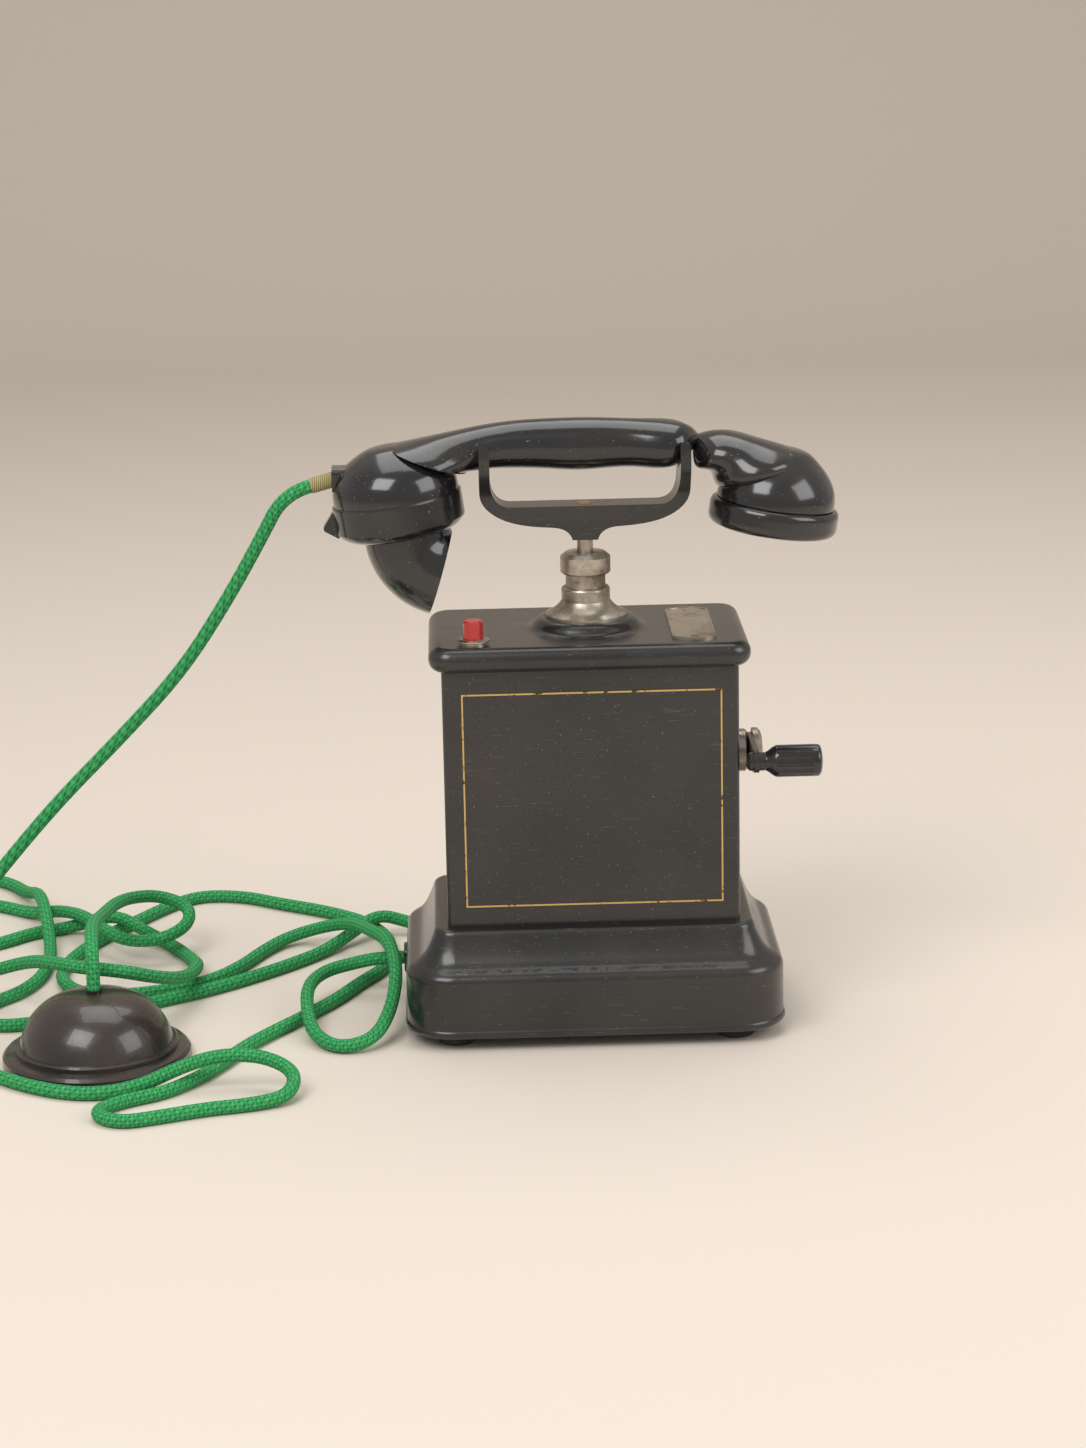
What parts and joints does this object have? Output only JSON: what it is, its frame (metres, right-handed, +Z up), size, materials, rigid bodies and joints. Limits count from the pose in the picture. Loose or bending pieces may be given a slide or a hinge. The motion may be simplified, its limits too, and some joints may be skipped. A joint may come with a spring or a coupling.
{
  "type": "magneto desk telephone",
  "caption": "Magneto desk telephone with a hand crank, a fork cradle on a pillar, a handset with a horn mouthpiece, a push button, a ringer and a terminal rosette.",
  "frame": {"origin": "on the table under the middle of the case", "axes": "+X to the right of the front, +Y to the back, +Z up"},
  "size_m": [0.4947, 0.404, 0.3061],
  "materials": {
    "black_enamel": "glossy black stoved enamel",
    "bakelite": "polished black bakelite",
    "nickel": "aged nickel plate",
    "brass": "dull brass",
    "steel": "plain steel",
    "iron": "blacked iron",
    "felt_rubber": "black rubber",
    "copper_winding": "enamelled copper winding",
    "red_plastic": "red bakelite",
    "green_braid": "green cotton braid",
    "tan_thread": "waxed thread",
    "rosette_plastic": "black bakelite",
    "paxolin": "brown laminate",
    "capacitor_can": "tinned can"
  },
  "bodies": {
    "telephone": {"base_shell": "black_enamel", "base_plate": "black_enamel", "base_screws": "steel", "feet": "felt_rubber", "case_shell": "black_enamel", "rear_cover": "black_enamel", "case_screws": "steel", "chassis_plate": "steel", "lid": "black_enamel", "name_plate": "nickel", "pillar_cone": "nickel", "pillar_tube": "nickel", "pillar_collar": "nickel", "panel_nuts": "brass", "lid_brackets": "steel", "switch_springs": "brass", "button_ring": "nickel", "magneto_end_plates": "brass", "pole_shoes": "iron", "magnets": "iron", "crank_bearing": "nickel", "induction_coil": "copper_winding", "capacitor": "capacitor_can", "terminal_strip": "paxolin", "ringer_frame": "steel", "ringer_coils": "copper_winding", "gong_posts": "brass", "gongs": "nickel", "handset_cord_bush": "bakelite", "line_cord_bush": "bakelite", "rosette_cover": "rosette_plastic", "rosette_base": "rosette_plastic", "rosette_terminals": "brass", "rosette_bush": "bakelite", "cradle_spring": "steel", "button_spring": "steel", "handset_cord": "green_braid", "line_cord": "green_braid"},
    "crank": {"crank_shaft": "steel", "drive_gear": "brass", "crank_hub": "nickel", "crank_arm": "black_enamel", "crank_pin": "black_enamel"},
    "grip": {"crank_grip": "bakelite"},
    "generator_armature": {"armature": "iron", "armature_winding": "copper_winding", "pinion": "steel"},
    "cradle": {"cradle_fork": "black_enamel", "cradle_shaft": "nickel", "fork_screw": "brass"},
    "handset": {"handset_body": "bakelite", "handset_whipping": "tan_thread", "transmitter_collar": "bakelite", "mouthpiece_horn": "bakelite", "transmitter_capsule": "nickel", "receiver_capsule": "nickel", "ear_cap": "bakelite"},
    "bell_clapper": {"clapper": "steel"},
    "button": {"red_button": "red_plastic"}
  },
  "joints": [
    {"name": "handset_lift", "type": "slide", "parent": "telephone", "child": "handset", "axis": [0, 0, 1], "range_m": [0, 0.15]},
    {"name": "cradle_rise", "type": "slide", "parent": "telephone", "child": "cradle", "axis": [0, 0, 1], "range_m": [0, 0.006], "deforming": ["cradle_spring"]},
    {"name": "button_press", "type": "slide", "parent": "telephone", "child": "button", "axis": [0, 0, -1], "range_m": [0, 0.003], "stiffness_N_per_m": 200, "springref_m": -0.001, "deforming": ["button_spring"]},
    {"name": "crank_turn", "type": "hinge", "parent": "telephone", "child": "crank", "pos_m": [0.078, 0, 0.1345], "axis": [1, 0, 0], "continuous": true},
    {"name": "armature_spin", "type": "hinge", "parent": "telephone", "child": "generator_armature", "pos_m": [0.028, 0, 0.1035], "axis": [1, 0, 0], "continuous": true},
    {"name": "grip_spin", "type": "hinge", "parent": "crank", "child": "grip", "pos_m": [0.1, -0.03779, 0.13847], "axis": [1, 0, 0], "continuous": true},
    {"name": "clapper_swing", "type": "hinge", "parent": "telephone", "child": "bell_clapper", "pos_m": [0, 0.024, 0.0235], "axis": [0, 0, 1], "range_deg": [-4.2, 4.2]}
  ],
  "couplings": [
    {"joint": "cradle_rise", "follows": "handset_lift", "ratio": 0.04},
    {"joint": "armature_spin", "follows": "crank_turn", "ratio": -4.1667}
  ]
}
